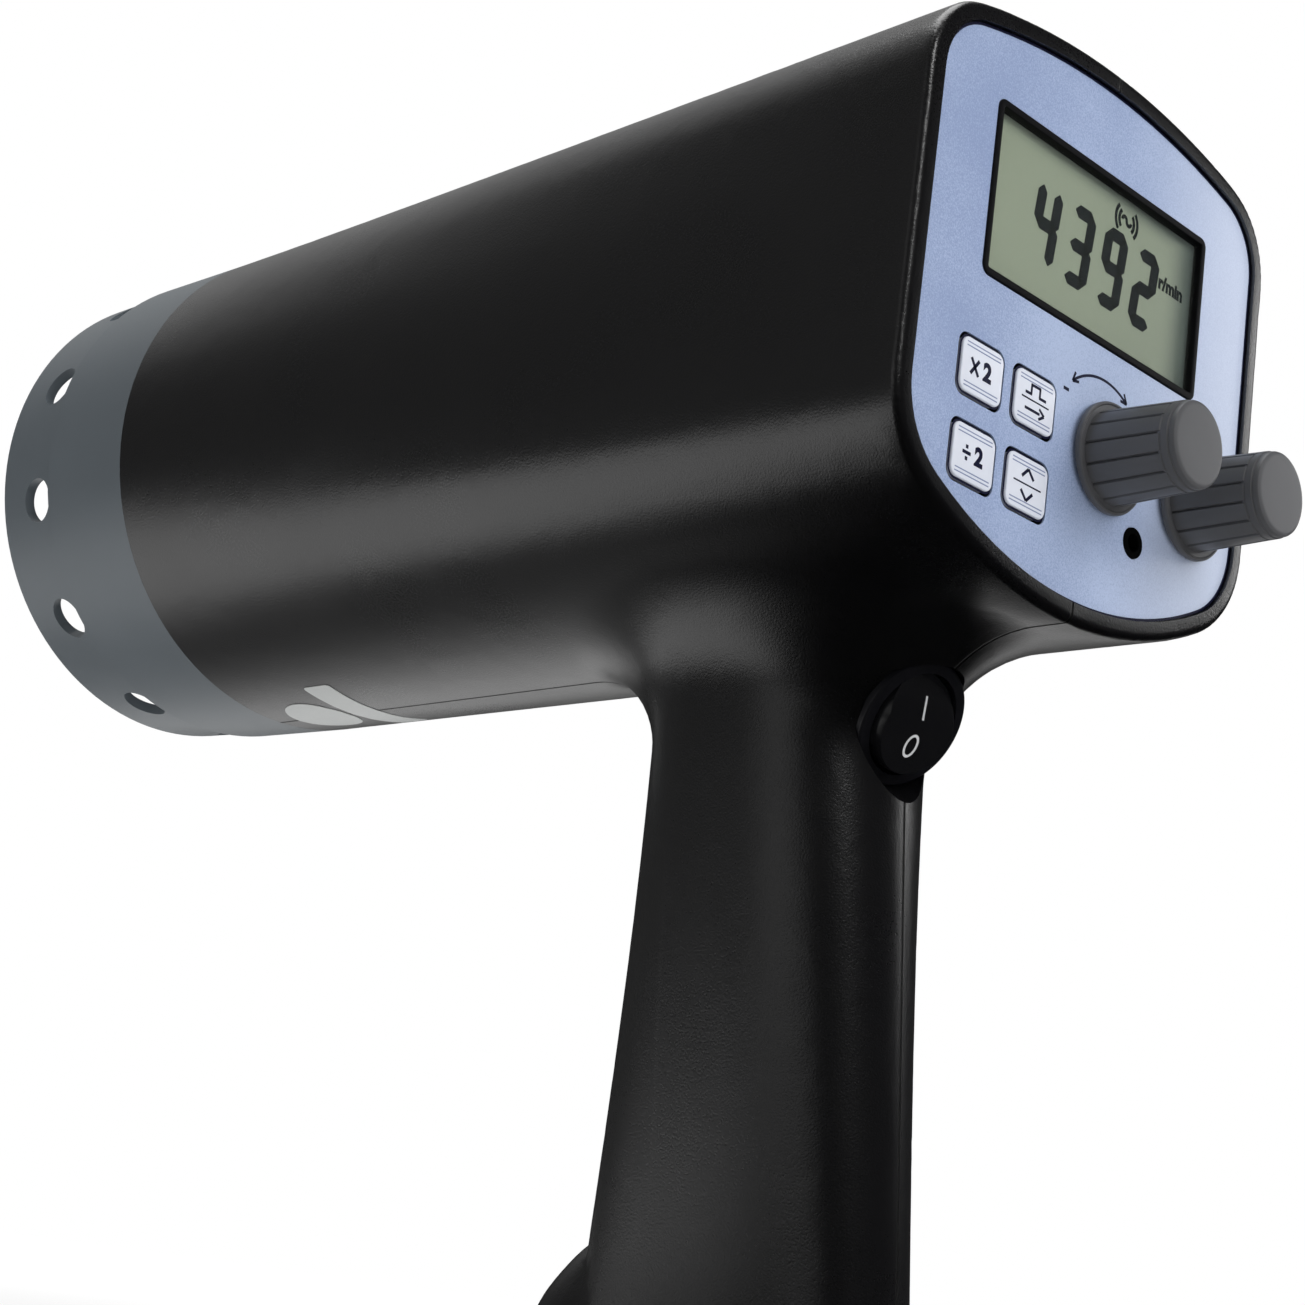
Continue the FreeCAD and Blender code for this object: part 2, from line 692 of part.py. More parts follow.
def knobs():
    washers, nuts = [], []
    for name, (y, up) in knob_places.items():
        hole = shaft_radius + shaft_clearance
        body = rod(at(panel_back_x, y, up), pot_radius, pot_length)
        bush = rod(at(-bush_reach, y, up), bush_radius, bush_reach + panel_back_x)
        pot = body.fuse(bush)
        pot = pot.cut(rod(at(-bush_reach - 1, y, up), hole, bush_reach + panel_back_x + pot_length - 0.5))
        export(name + "_pot", pot)
        washers.append(tube(at(-washer_thickness, y, up), washer_radius, bush_radius + 0.05,
                            washer_thickness))
        nuts.append(nut(-washer_thickness - nut_thickness, y, up, nut_flats, bush_radius + 0.05,
                        nut_thickness))

        shaft_end = panel_back_x + pot_length - 2.0
        shaft_start = -(knob_stand + knob_length - 3.5)
        export(name + "_shaft", rod(at(shaft_start, y, up), shaft_radius, shaft_end - shaft_start))

        rear = -knob_stand
        profile = [(rear, knob_flange_radius - 0.4), (rear - 0.4, knob_flange_radius),
                   (rear - knob_flange_thickness + 0.6, knob_flange_radius),
                   (rear - knob_flange_thickness, knob_base_radius + 0.3),
                   (rear - knob_length + 0.6, knob_top_radius), (rear - knob_length, knob_top_radius - 0.3),
                   (rear - knob_length, 0), (rear, 0)]
        points = [at(x, y, up + radius) for x, radius in profile]
        face = Part.Face(Part.makePolygon(points + [points[0]]))
        knob = face.revolve(at(0, y, up), Vector(1, 0, 0), 360)
        for index in range(knob_flutes):
            turn = 2 * math.pi * index / knob_flutes
            way = Vector(0, math.cos(turn), math.sin(turn))
            start = at(rear - knob_flange_thickness - 0.4, y, up) + way * (knob_base_radius + 0.45)
            end = at(rear - knob_length + 2.6, y, up) + way * (knob_top_radius + 0.55)
            knob = knob.cut(rod(start, flute_radius, start.distanceToPoint(end), end - start))
        nut_space = max(nut_flats * 0.6, washer_radius) + 0.4
        knob = knob.cut(rod(at(rear + 0.1, y, up), nut_space, bush_reach + 0.4, Vector(-1, 0, 0)))
        knob = knob.cut(rod(at(rear + 0.1, y, up), shaft_radius, knob_length - 3.4, Vector(-1, 0, 0)))
        knob = knob.cut(rod(at(rear - knob_length - 0.1, y, up), cap_radius, 1.1))
        export(name + "_knob", knob)
        dome_x = rear - knob_length - cap_height + 1.0
        cap = rod(at(dome_x, y, up), cap_radius, cap_height)
        rim = [edge for edge in cap.Edges
               if edge.Closed and abs(edge.BoundBox.XMax - (panel_x + dome_x)) < 0.01]
        export(name + "_knob_cap", cap.makeFillet(0.6, rim))
    export("pot_washers", Part.makeCompound(washers))
    export("pot_nuts", Part.makeCompound(nuts))


def nut(x, y, up, flats, bore, thickness):
    corner = flats / math.sqrt(3)
    points = []
    for index in range(6):
        turn = math.pi / 3 * index
        points.append(at(x, y + corner * math.cos(turn), up + corner * math.sin(turn)))
    face = Part.Face(Part.makePolygon(points + [points[0]]))
    return face.extrude(Vector(thickness, 0, 0)).cut(rod(at(x - 1, y, up), bore, thickness + 2))


def jack():
    body = block(panel_back_x, jack_y, jack_up, jack_depth - panel_back_x, jack_body, jack_body)
    bush = rod(at(-0.3, jack_y, jack_up), jack_bush_radius, panel_back_x + 0.3)
    shape = body.fuse(bush).cut(rod(at(-1, jack_y, jack_up), jack_bore_radius, jack_depth))
    export("trigger_jack", shape)


def switch():
    bezel = rod(switch_point(0), bezel_radius, bezel_thickness, switch_out)
    rim = [edge for edge in bezel.Edges if edge.Closed
           and (edge.CenterOfMass - switch_point(bezel_thickness)).Length < 0.01]
    bezel = bezel.makeFillet(0.7, rim)
    neck = rod(switch_point(-switch_neck_length), switch_neck_radius, switch_neck_length, switch_out)
    body = rod(switch_point(-switch_body_length), switch_neck_radius - 1.0,
               switch_body_length - switch_neck_length, switch_out)
    space = rod(switch_point(-switch_neck_length + 0.5), rocker_radius + rocker_gap, 20, switch_out)
    shape = bezel.fuse(neck).fuse(body).cut(space)
    pin_reach = rocker_radius + rocker_gap + 0.9
    shape = shape.cut(rod(switch_point(0, 0, -pin_reach - 0.1), pin_radius + pin_clearance,
                          2 * pin_reach + 0.2, Vector(0, 1, 0)))
    export("switch_housing", shape)

    # The rocker: a ball cut by a shallow vee, tipped so that its upper end is pressed in
    ball = Part.makeSphere(rocker_radius, switch_point(0))
    face_height = 3.6
    for sign in (1, -1):
        tip = math.radians(sign * rocker_throw)
        way = switch_out * math.cos(tip) + switch_up * math.sin(tip)
        cutter = rod(switch_point(0) + way * face_height, 2 * rocker_radius, rocker_radius, way)
        ball = ball.cut(cutter)
    ball = ball.cut(rod(switch_point(-6.0), 2 * rocker_radius, rocker_radius, switch_out * -1))
    pin = rod(switch_point(0, 0, -pin_reach), pin_radius, 2 * pin_reach, Vector(0, 1, 0))
    rocker = ball.fuse(pin)
    rocker.rotate(switch_point(0), Vector(0, 1, 0), rocker_throw)
    export("switch_rocker", rocker)

    blades = []
    for up in (-6.0, 0.0, 6.0):
        blade = Part.makeBox(8.0, 4.8, 0.8, Vector(0, -2.4, -0.4))
        blade.rotate(Vector(0, 0, 0), Vector(0, 1, 0), -switch_slope)
        blade.translate(switch_point(-switch_body_length, up))
        blades.append(blade)
    export("switch_terminals", Part.makeCompound(blades))


def inlet():
    body = inlet_block(inlet_rear_x(), inlet_depth, 0)
    body = body.cut(inlet_block(inlet_rear_x() - 1, inlet_depth - 1, inlet_wall))
    export("mains_inlet", body)
    pins = []
    for side in (1, -1):
        start = at(inlet_rear_x() + 1.5, side * pin_spacing / 2, inlet_height_above_foot - foot_drop)
        pins.append(rod(start, inlet_pin_radius, inlet_depth - 3.5))
    export("inlet_pins", Part.makeCompound(pins))


os.makedirs("parts", exist_ok=True)
housing()
hood()
lamp()
power()
panel()
display()
keys()
knobs()
jack()
switch()
base()
inlet()
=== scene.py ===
import bpy
import bmesh
import json
import math
from mathutils import Matrix, Vector
from mathutils.bvhtree import BVHTree


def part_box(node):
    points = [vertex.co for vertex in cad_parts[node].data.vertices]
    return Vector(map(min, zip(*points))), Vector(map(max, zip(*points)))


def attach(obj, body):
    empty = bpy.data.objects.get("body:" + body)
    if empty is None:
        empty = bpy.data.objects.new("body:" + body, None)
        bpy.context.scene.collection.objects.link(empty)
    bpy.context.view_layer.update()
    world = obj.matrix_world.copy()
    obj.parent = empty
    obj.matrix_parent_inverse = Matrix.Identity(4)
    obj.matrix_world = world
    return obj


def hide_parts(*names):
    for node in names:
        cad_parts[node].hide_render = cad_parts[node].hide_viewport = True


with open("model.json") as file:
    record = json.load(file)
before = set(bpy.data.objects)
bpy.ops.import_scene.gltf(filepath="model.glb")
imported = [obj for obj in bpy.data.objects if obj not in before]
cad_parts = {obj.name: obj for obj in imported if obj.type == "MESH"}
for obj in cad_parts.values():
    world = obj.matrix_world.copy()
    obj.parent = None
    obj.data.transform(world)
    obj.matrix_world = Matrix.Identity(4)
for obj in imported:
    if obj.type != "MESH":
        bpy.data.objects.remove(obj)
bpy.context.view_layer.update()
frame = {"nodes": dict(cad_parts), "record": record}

print("stage: frame loaded")

mm = 0.001
weldGap = 0.004 * mm  # corners closer than this are one
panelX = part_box("panel_overlay")[0][0]  # the printed face of the control panel
hoodLow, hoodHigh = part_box("lens_hood")
axisZ = (hoodLow[2] + hoodHigh[2]) / 2  # height of the lamp head's axis
upward, rearward = Vector((0, 0, 1)), Vector((-1, 0, 0))
inPlace = Matrix.Identity(4)


# A value that runs from node to node, written with Python's own operators
class Wire:
    def __init__(self, graph, socket):
        self.graph = graph
        self.socket = socket

    # Another output of the same node
    def beside(self, output):
        return Wire(self.graph, self.socket.node.outputs[output])

    def math(self, operation, *values):
        return self.graph.node("ShaderNodeMath", {"operation": operation}, dict(enumerate(values)))

    def __add__(self, other):
        return self.math("ADD", self, other)

    __radd__ = __add__

    def __sub__(self, other):
        return self.math("SUBTRACT", self, other)

    def __rsub__(self, other):
        return self.math("SUBTRACT", other, self)

    def __mul__(self, other):
        return self.math("MULTIPLY", self, other)

    def power(self, other):
        return self.math("POWER", self, other)

    def absolute(self):
        return self.math("ABSOLUTE", self)

    def least(self, other):
        return self.math("MINIMUM", self, other)

    def most(self, other):
        return self.math("MAXIMUM", self, other)

    # 0 below low, top above high, soft between
    def rise(self, low, high, top=1.0):
        return self.graph.node("ShaderNodeMapRange", {"interpolation_type": "SMOOTHSTEP"},
                               {"Value": self, "From Min": low, "From Max": high, "To Max": top})


# The nodes of a material or of the world
class Graph:
    def __init__(self, owner, kind):
        owner.use_nodes = True
        self.tree = owner.node_tree
        self.tree.nodes.clear()
        self.output = self.tree.nodes.new(kind)

    def node(self, kind, settings=None, sockets=None, output=0):
        node = self.tree.nodes.new(kind)
        for name, value in (settings or {}).items():
            setattr(node, name, value)
        for name, value in (sockets or {}).items():
            if isinstance(value, Wire):
                self.tree.links.new(value.socket, node.inputs[name])
            else:
                node.inputs[name].default_value = value
        return Wire(self, node.outputs[output])

    def surface(self, wire):
        self.tree.links.new(wire.socket, self.output.inputs["Surface"])


# One material, its shader and the nodes that feed it, with sizes in millimetres
class Finish(Graph):
    def __init__(self, name, constants=None):
        self.material = bpy.data.materials.new(name)
        super().__init__(self.material, "ShaderNodeOutputMaterial")
        self.shader = self.node("ShaderNodeBsdfPrincipled", sockets=constants)
        self.surface(self.shader)

    def place(self):
        return self.node("ShaderNodeTexCoord", output="Object")

    def axes(self):
        first = self.node("ShaderNodeSeparateXYZ", sockets={0: self.place()})
        return [first.beside(index) for index in range(3)]

    def noise(self, size, detail=2.0):
        return self.node("ShaderNodeTexNoise", sockets={"Vector": self.place(), "Detail": detail,
                                                        "Scale": 1 / (size * mm)})

    def blend(self, factor, first, second):
        return self.node("ShaderNodeMix", {"data_type": "RGBA"}, {0: factor, 6: first, 7: second},
                         output=2)

    def tones(self, factor, colour, low, high):
        return self.blend(factor, tint(colour, low), tint(colour, high))

    def feed(self, name, wire):
        self.tree.links.new(wire.socket, self.shader.socket.node.inputs[name])

    def bump(self, height, depth):
        self.feed("Normal", self.node("ShaderNodeBump",
                                      sockets={"Height": height, "Distance": depth * mm}))


def tint(colour, share=1.0):
    return tuple(part * share for part in colour) + (1.0,)


# Moulded plastic: a fine spark-eroded texture, with slow patches of tone and gloss from handling
mouldings = {
    "shellPlastic": {"colour": (0.0030, 0.0029, 0.0036), "rough": 0.30, "gloss": 0.92,
                     "grain": 0.42, "depth": 0.045, "seam": 0.42},
    "capPlastic": {"colour": (0.0030, 0.0029, 0.0036), "rough": 0.32, "gloss": 0.92,
                   "grain": 0.42, "depth": 0.045},
    "hoodPlastic": {"colour": (0.140, 0.163, 0.182), "rough": 0.38, "gloss": 0.50,
                    "grain": 0.3, "depth": 0.02},
    "blackPlastic": {"colour": (0.006, 0.006, 0.008), "rough": 0.34, "gloss": 0.35,
                     "grain": 0.25, "depth": 0.008},
    "rockerPlastic": {"colour": (0.006, 0.006, 0.007), "rough": 0.24, "gloss": 0.40,
                      "grain": 0.3, "depth": 0.004},
    "knobPlastic": {"colour": (0.080, 0.081, 0.086), "rough": 0.40, "gloss": 0.35,
                    "grain": 0.2, "depth": 0.010},
    "whitePlastic": {"colour": (0.62, 0.62, 0.60), "rough": 0.50, "gloss": 0.5,
                     "grain": 0.4, "depth": 0.01},
    "sealRubber": {"colour": (0.02, 0.02, 0.02), "rough": 0.70, "gloss": 0.3,
                   "grain": 0.3, "depth": 0.02},
    "framePlastic": {"colour": (0.003, 0.003, 0.004), "rough": 0.50, "gloss": 0.15,
                     "grain": 0.3, "depth": 0.004},
    "jackPlastic": {"colour": (0.002, 0.002, 0.002), "rough": 0.70, "gloss": 0.05,
                    "grain": 0.3, "depth": 0.004},
    "printInk": {"colour": (0.008, 0.009, 0.030), "rough": 0.50, "gloss": 0.15,
                 "grain": 0.15, "depth": 0.002},
    "paleInk": {"colour": (0.62, 0.63, 0.64), "rough": 0.45, "gloss": 0.3,
                "grain": 0.15, "depth": 0.002},
    "fineInk": {"colour": (0.20, 0.24, 0.38), "rough": 0.45, "gloss": 0.3,
                "grain": 0.15, "depth": 0.002},
    "segmentInk": {"colour": (0.006, 0.008, 0.010), "rough": 0.60, "gloss": 0.03,
                   "grain": 0.15, "depth": 0.001},
    "labelPaper": {"colour": (0.66, 0.68, 0.67), "rough": 0.38, "gloss": 0.4,
                   "grain": 0.5, "depth": 0.004},
    "boardMask": {"colour": (0.012, 0.085, 0.035), "rough": 0.30, "gloss": 0.5,
                  "grain": 1.2, "depth": 0.01},
    "canSleeve": {"colour": (0.012, 0.016, 0.05), "rough": 0.28, "gloss": 0.5,
                  "grain": 0.8, "depth": 0.004},
}
handling = {"patch": 34, "tones": (0.88, 1.14), "rough": 0.10}
partingLine = {"core": 0.3, "colour": (0.001, 0.001, 0.001), "rough": 0.4, "depth": 9}


def moulded(name, values):
    finish = Finish(name, {"Specular IOR Level": values["gloss"]})
    grain = finish.noise(values["grain"])
    patch = finish.noise(handling["patch"], 3.0)
    colour = finish.tones(patch, values["colour"], *handling["tones"])
    rough = values["rough"] + (grain - 0.5) * handling["rough"] + (patch - 0.5) * handling["rough"]
    height = grain
    if "seam" in values:
        reach = values["seam"] * mm
        offLine = finish.axes()[1].absolute().rise(partingLine["core"] * reach, reach)
        colour = finish.blend(offLine, tint(partingLine["colour"]), colour)
        rough = rough + (1 - offLine) * partingLine["rough"]
        height = grain + offLine * partingLine["depth"]
    finish.feed("Base Color", colour)
    finish.feed("Roughness", rough)
    finish.bump(height, values["depth"])
    return finish.material


metals = {
    "platedSteel": {"colour": (0.62, 0.62, 0.64), "rough": 0.28, "grain": 0.6},
    "platedBrass": {"colour": (0.74, 0.58, 0.30), "rough": 0.30, "grain": 0.6},
    "spunReflector": {"colour": (0.86, 0.87, 0.89), "rough": 0.16, "grain": 0.9, "metal": 0.35},
    "coreLaminations": {"colour": (0.28, 0.28, 0.29), "rough": 0.45, "grain": 0.5},
}
metalWear = {"patch": 14, "tones": (0.85, 1.0), "rough": 0.12, "depth": 0.006}


def metal(name, values):
    finish = Finish(name, {"Metallic": values.get("metal", 1.0)})
    grain = finish.noise(values["grain"], 3.0)
    patch = finish.noise(metalWear["patch"])
    finish.feed("Base Color", finish.tones(patch, values["colour"], *metalWear["tones"]))
    finish.feed("Roughness", values["rough"] + (grain - 0.5) * metalWear["rough"])
    finish.bump(grain, metalWear["depth"])
    return finish.material


glasses = {
    "lensGlass": {"colour": (0.94, 0.96, 0.97), "rough": 0.04, "alpha": 0.12},
    "tubeGlass": {"colour": (0.92, 0.95, 0.98), "rough": 0.05, "alpha": 0.40},
    "displayPane": {"colour": (0.20, 0.22, 0.20), "rough": 0.10, "alpha": 0.04},
}
glassHaze = {"patch": 20, "tones": (0.95, 1.0), "rough": 0.03, "index": 1.49}


def glass(name, values):
    finish = Finish(name, {"IOR": glassHaze["index"], "Alpha": values["alpha"]})
    haze = finish.noise(glassHaze["patch"])
    finish.feed("Base Color", finish.tones(haze, values["colour"], *glassHaze["tones"]))
    finish.feed("Roughness", values["rough"] + haze * glassHaze["rough"])
    return finish.material


# The panel's printed film: two close blues, finely speckled; towards the right a painted highlight
# turns them to a paler blue, standing in for a lamp's gloss on the film
panelFilm = {"pale": (0.375, 0.455, 0.640), "deep": (0.215, 0.280, 0.455),
             # the paler blue of the painted highlight on the right
             "light": (0.53, 0.59, 0.73),
             "speck": 0.30, "drift": 46, "contrast": 1.1, "spread": (0.15, 0.85),
             "paintedHighlight": (0.004, 0.052), "highlightLeast": 0.55, "highlightSpeck": 0.5,
             "gloss": 0.5, "rough": 0.34, "roughSpeck": 0.12, "depth": 0.006}


def printedFilmAndHighlight():
    finish = Finish("panelFilm", {"Specular IOR Level": panelFilm["gloss"]})
    speck = finish.noise(panelFilm["speck"], 3.0)
    drift = finish.noise(panelFilm["drift"])
    mask = ((speck - 0.5) * panelFilm["contrast"] + drift).rise(*panelFilm["spread"])
    blues = finish.blend(mask, tint(panelFilm["deep"]), tint(panelFilm["pale"]))
    cover = panelFilm["highlightLeast"] + speck * panelFilm["highlightSpeck"]
    # Painted highlight: the film is paler towards the right, broken up by the speckle
    paintedHighlight = (0 - finish.axes()[1]).rise(*panelFilm["paintedHighlight"]) * cover
    finish.feed("Base Color", finish.blend(paintedHighlight, blues, tint(panelFilm["light"])))
    finish.feed("Roughness", panelFilm["rough"] + (speck - 0.5) * panelFilm["roughSpeck"])
    finish.bump(speck, panelFilm["depth"])
    return finish.material


keyFilm = {"face": (0.66, 0.69, 0.77), "tones": (0.95, 1.0), "grain": 0.3, "patch": 9,
           "gloss": 0.4, "rough": 0.40, "roughGrain": 0.1, "depth": 0.004}


def keyCap():
    finish = Finish("keyFilm", {"Specular IOR Level": keyFilm["gloss"]})
    grain = finish.noise(keyFilm["grain"])
    patch = finish.noise(keyFilm["patch"])
    finish.feed("Base Color", finish.tones(patch, keyFilm["face"], *keyFilm["tones"]))
    finish.feed("Roughness", keyFilm["rough"] + (grain - 0.5) * keyFilm["roughGrain"])
    finish.bump(grain, keyFilm["depth"])
    return finish.material


# Painted shade on the liquid crystal glass: darker near the top and the right end of the frame that
# stands in front of it, where the frame's shadow falls, and slowly darker towards the right, with
# random clouding
lcdGlass = {"pale": (0.250, 0.292, 0.212), "deep": (0.060, 0.078, 0.074), "gloss": 0.3,
            "top": 238.6, "topShade": 6, "end": -35.0, "endShade": 12, "shade": 0.6,
            "width": 70, "slope": 0.3, "cloud": 22, "clouding": 0.2,
            "rough": 0.35, "roughCloud": 0.1}


def crystalGlass():
    finish = Finish("crystalGlass", {"Specular IOR Level": lcdGlass["gloss"]})
    across, up = finish.axes()[1:]
    cloud = finish.noise(lcdGlass["cloud"])
    fromTop = (lcdGlass["top"] * mm - up).rise(0.0, lcdGlass["topShade"] * mm)
    inward = across - lcdGlass["end"] * mm
    fromEnd = inward.rise(0.0, lcdGlass["endShade"] * mm)
    slow = inward * (lcdGlass["slope"] / (lcdGlass["width"] * mm))
    # Painted shade of the frame at the top and the right end, a slow darkening to the right, and
    # clouding
    light = fromTop.least(fromEnd) * lcdGlass["shade"] + slow + cloud * lcdGlass["clouding"]
    finish.feed("Base Color", finish.blend(light.rise(0.0, 1.0), tint(lcdGlass["deep"]),
                                           tint(lcdGlass["pale"])))
    finish.feed("Roughness", lcdGlass["rough"] + cloud * lcdGlass["roughCloud"])
    return finish.material


finishes = {name: make(name, values)
            for make, family in ((moulded, mouldings), (metal, metals), (glass, glasses))
            for name, values in family.items()}
finishes.update({"panelFilm": printedFilmAndHighlight(), "keyFilm": keyCap(), "crystalGlass": crystalGlass()})

slotFinish = {
    "body": "capPlastic", "hood": "hoodPlastic", "lens": "lensGlass", "seal": "sealRubber",
    "dark_metal": "blackPlastic", "reflector": "spunReflector", "tube_glass": "tubeGlass",
    "ceramic": "whitePlastic", "board": "boardMask", "capacitor": "canSleeve",
    "resin": "blackPlastic", "core": "coreLaminations", "winding": "platedBrass",
    "panel_back": "blackPlastic", "overlay": "panelFilm", "display_frame": "blackPlastic",
    "pane": "displayPane", "lcd": "crystalGlass", "light_plastic": "whitePlastic",
    "switch_plastic": "blackPlastic", "key": "keyFilm", "pot": "platedSteel",
    "steel": "platedSteel", "knob": "knobPlastic", "knob_cap": "knobPlastic",
    "jack": "jackPlastic", "rocker": "rockerPlastic", "brass": "platedBrass"}
nodeFinish = {"left_shell": "shellPlastic", "right_shell": "shellPlastic"}
frameCrease = 32  # degrees


def splitCreases(shape, degrees):
    crease = shape.modifiers.new("creases", "EDGE_SPLIT")
    crease.split_angle = math.radians(degrees)


def dressFrame():
    slots = {part["node"]: part["material_slot"] for part in frame["record"]["subparts"]}
    for node, shape in frame["nodes"].items():
        name = nodeFinish.get(node, slotFinish[slots[node]])
        shape.data.materials.clear()
        shape.data.materials.append(finishes[name])
        for face in shape.data.polygons:
            face.use_smooth = True
        weld = shape.modifiers.new("weld", "WELD")
        weld.merge_threshold = weldGap
        splitCreases(shape, frameCrease)
    print("stage: frame dressed")


dressFrame()


def addObject(name, data):
    made = bpy.data.objects.new(name, data)
    bpy.context.scene.collection.objects.link(made)
    return made


def meshFrom(name, bm):
    data = bpy.data.meshes.new(name)
    bm.to_mesh(data)
    bm.free()
    return data


# Where flat shapes are drawn: u to the reader's right, v up, n towards the reader
def facing(origin, out, up):
    across = up.cross(out)
    turn = Matrix((across, up, out)).transposed().to_4x4()
    return Matrix.Translation(origin) @ turn


def onPanel(y, z, stand=0.0):
    return facing(Vector((panelX - stand * mm, y * mm, z * mm)), rearward, upward)


# Makes the piece; one that has a crease angle is shaded smooth up to it
def finished(name, bm, matrix, body, finish, crease=None):
    bmesh.ops.transform(bm, matrix=matrix, verts=bm.verts)
    data = meshFrom(name, bm)
    for face in data.polygons:
        face.use_smooth = crease is not None
    data.materials.append(finishes[finish])
    piece = addObject(name, data)
    if crease is not None:
        splitCreases(piece, crease)
    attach(piece, body)
    return piece


def square(bm, width, height):
    verts = bmesh.ops.create_grid(bm, x_segments=1, y_segments=1, size=0.5)["verts"]
    bmesh.ops.scale(bm, vec=(width, height, 1), verts=verts)
    return verts


def bevelled(bm, geom, offset, affect, segments):
    return bmesh.ops.bevel(bm, geom=geom, offset=offset, offset_type="OFFSET", affect=affect,
                           segments=segments, profile=0.5, material=-1)


def bar(bm, start, end, width, pointed=0.0):
    start, end = Vector(start), Vector(end)
    along = end - start
    verts = square(bm, along.length, width)
    if pointed:
        verts = bevelled(bm, verts, width * pointed, "VERTICES", 1)["verts"]
    turn = Matrix.Rotation(math.atan2(along.y, along.x), 4, "Z")
    middle = (start + end) / 2
    bmesh.ops.transform(bm, matrix=Matrix.Translation((middle.x, middle.y, 0)) @ turn, verts=verts)


def bars(bm, strokes):
    for start, end, width in strokes:
        bar(bm, start, end, width)


def roundRect(bm, width, height, corner, segments=6):
    bevelled(bm, square(bm, width, height), corner, "VERTICES", segments)


def hollowOut(bm, thickness):
    core = bm.faces[:]
    bmesh.ops.inset_region(bm, faces=core, thickness=thickness, use_boundary=True,
                           use_even_offset=True)
    bmesh.ops.delete(bm, geom=core, context="FACES")


def arcBand(bm, centre, radius, width, start, sweep, steps):
    first = bm.verts.new((radius - width / 2, 0, 0))
    last = bm.verts.new((radius + width / 2, 0, 0))
    edge = bm.edges.new((first, last))
    bmesh.ops.rotate(bm, matrix=Matrix.Rotation(start, 3, "Z"), verts=[first, last])
    before = set(bm.verts) - {first, last}
    bmesh.ops.spin(bm, geom=[first, last, edge], cent=(0, 0, 0), axis=(0, 0, 1), angle=sweep,
                   steps=steps, use_merge=abs(sweep) > 6.28)
    fresh = [vert for vert in bm.verts if vert not in before]
    bmesh.ops.translate(bm, vec=(centre[0], centre[1], 0), verts=fresh)


def thicken(bm, thickness, out=upward):
    for face in bm.faces:
        if face.normal.dot(out) < 0:
            face.normal_flip()
    grown = bmesh.ops.extrude_face_region(bm, geom=bm.faces[:])
    verts = [item for item in grown["geom"] if isinstance(item, bmesh.types.BMVert)]
    bmesh.ops.translate(bm, vec=out * thickness, verts=verts)
    bmesh.ops.recalc_face_normals(bm, faces=bm.faces[:])


# Turns a flat shape into a slab between two heights
def slab(bm, low, high):
    bmesh.ops.translate(bm, vec=(0, 0, low), verts=bm.verts)
    thicken(bm, high - low)


def roundTop(bm, top, offset):
    rim = [edge for edge in bm.edges
           if all(vert.co.z > top - 0.01 for vert in edge.verts) and edge.calc_face_angle(0) > 1.0]
    bevelled(bm, rim, offset, "EDGES", 3)


# Shapes are drawn in millimetres
def scaled(bm):
    bmesh.ops.scale(bm, vec=(mm, mm, mm), verts=bm.verts)
    return bm


def letters(bm, body, centre, size, weight):
    words = bpy.data.curves.new("letters", "FONT")
    words.body = body
    words.align_x, words.align_y = "CENTER", "CENTER"
    words.size = size
    words.offset = size * weight
    holder = addObject("letters", words)
    bpy.context.view_layer.update()
    flat = bpy.data.meshes.new_from_object(holder)
    before = set(bm.verts)
    bm.from_mesh(flat)
    fresh = [vert for vert in bm.verts if vert not in before]
    bmesh.ops.translate(bm, vec=(centre[0], centre[1], 0), verts=fresh)
    bmesh.ops.remove_doubles(bm, verts=fresh, dist=0.0005)
    bpy.data.objects.remove(holder)
    bpy.data.curves.remove(words)
    bpy.data.meshes.remove(flat)


# A flat drawing, given its depth of ink
def printed(name, bm, depth, matrix, body, finish):
    thicken(bm, depth)
    finished(name, scaled(bm), matrix, body, finish)


# The display: a slim black frame, a pane, and the liquid crystal glass close behind it
display = {"centre": (0.2, 221.5), "size": (70.2, 34.9), "border": 1.5, "corner": 1.8,
           "stand": 0.35, "depth": 3.3, "round": 0.22, "crease": 40,
           "tuck": 0.2, "glassCorner": 0.5, "pane": (0.8, 1.1), "glass": (1.5, 3.7)}


def makeDisplay():
    width, height = display["size"]
    place = onPanel(*display["centre"])
    bm = bmesh.new()
    roundRect(bm, width, height, display["corner"])
    hollowOut(bm, display["border"])
    slab(bm, -display["depth"], display["stand"])
    roundTop(bm, display["stand"], display["round"])
    piece = finished("displaySurround", scaled(bm), place, "housing", "framePlastic",
                     display["crease"])
    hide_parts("display_frame")
    covered = 2 * (display["border"] - display["tuck"])
    for name, (front, back), finish, slot, node in (
            ("displayPane", display["pane"], "displayPane", "pane", "display_window"),
            ("crystalCell", display["glass"], "crystalGlass", "lcd", "lcd_glass")):
        bm = bmesh.new()
        roundRect(bm, width - covered, height - covered, display["glassCorner"], 3)
        slab(bm, -back, -front)
        piece = finished(name, scaled(bm), place, "housing", finish)
        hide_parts(node)


makeDisplay()

